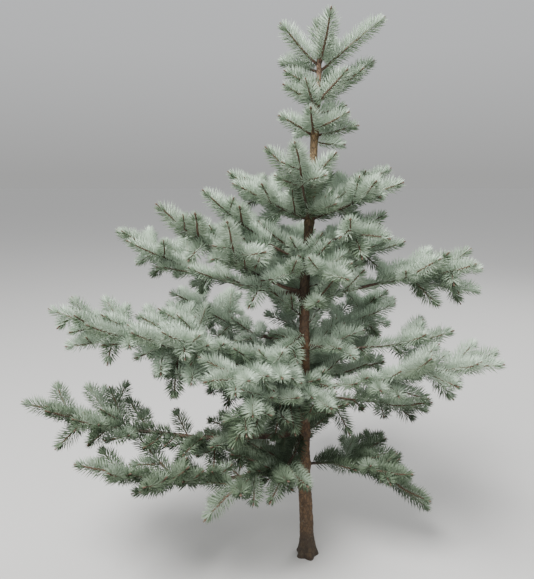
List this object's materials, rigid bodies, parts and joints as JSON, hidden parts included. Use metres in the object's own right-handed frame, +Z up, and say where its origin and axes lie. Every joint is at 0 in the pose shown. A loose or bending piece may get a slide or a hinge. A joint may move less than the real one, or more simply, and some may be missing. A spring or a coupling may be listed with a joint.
{
  "type": "blue spruce tree",
  "caption": "Young blue spruce rooted in the ground: one leaning trunk, whorls of rising and spreading boughs, and open silvery sprays of needled shoots up to a slim leader.",
  "frame": {"origin": "middle of the flat cut under the trunk, at ground level", "axes": "+Z up the trunk, +X to the right and +Y away from the viewer in the pictured view"},
  "size_m": [1.0757, 0.8376, 1.3356],
  "materials": {
    "trunk bark": "rough thin scaly bark",
    "bough bark": "rough bark of boughs and twigs",
    "needles": "waxy silvery blue-green needles"
  },
  "bodies": {
    "root": {"trunk": "trunk bark", "eighth_right_bough": "bough bark", "fifth_left_bough": "bough bark", "ninth_back_bough": "bough bark", "ninth_left_bough": "bough bark", "ninth_right_bough": "bough bark", "seventh_back_left_bough": "bough bark", "seventh_back_right_bough": "bough bark", "seventh_left_bough": "bough bark", "seventh_right_bough": "bough bark", "sixth_back_left_bough": "bough bark", "sixth_left_bough": "bough bark", "sixth_right_bough": "bough bark", "tenth_left_bough": "bough bark", "eighth_back_left_needles": "needles", "eighth_back_right_needles": "needles", "eighth_front_left_needles": "needles", "eighth_front_needles": "needles", "eighth_right_needles": "needles", "fifth_back_left_needles": "needles", "fifth_back_right_needles": "needles", "fifth_front_needles": "needles", "fifth_left_needles": "needles", "fifth_right_needles": "needles", "fourth_back_left_needles": "needles", "fourth_back_right_needles": "needles", "fourth_front_needles": "needles", "fourth_left_needles": "needles", "fourth_right_needles": "needles", "leader_needles": "needles", "ninth_back_needles": "needles", "ninth_front_needles": "needles", "ninth_left_needles": "needles", "ninth_right_needles": "needles", "second_back_needles": "needles", "second_front_needles": "needles", "second_left_needles": "needles", "second_right_needles": "needles", "seventh_back_left_needles": "needles", "seventh_back_right_needles": "needles", "seventh_front_left_needles": "needles", "seventh_left_needles": "needles", "seventh_right_needles": "needles", "sixth_back_left_needles": "needles", "sixth_back_needles": "needles", "sixth_left_needles": "needles", "sixth_right_needles": "needles", "tenth_back_needles": "needles", "tenth_front_left_needles": "needles", "tenth_left_needles": "needles", "tenth_right_needles": "needles", "third_back_needles": "needles", "third_front_needles": "needles", "third_left_needles": "needles", "third_right_needles": "needles", "top_back_left_needles": "needles", "top_back_right_needles": "needles", "top_front_needles": "needles", "top_left_needles": "needles", "top_right_needles": "needles"}
  },
  "joints": []
}
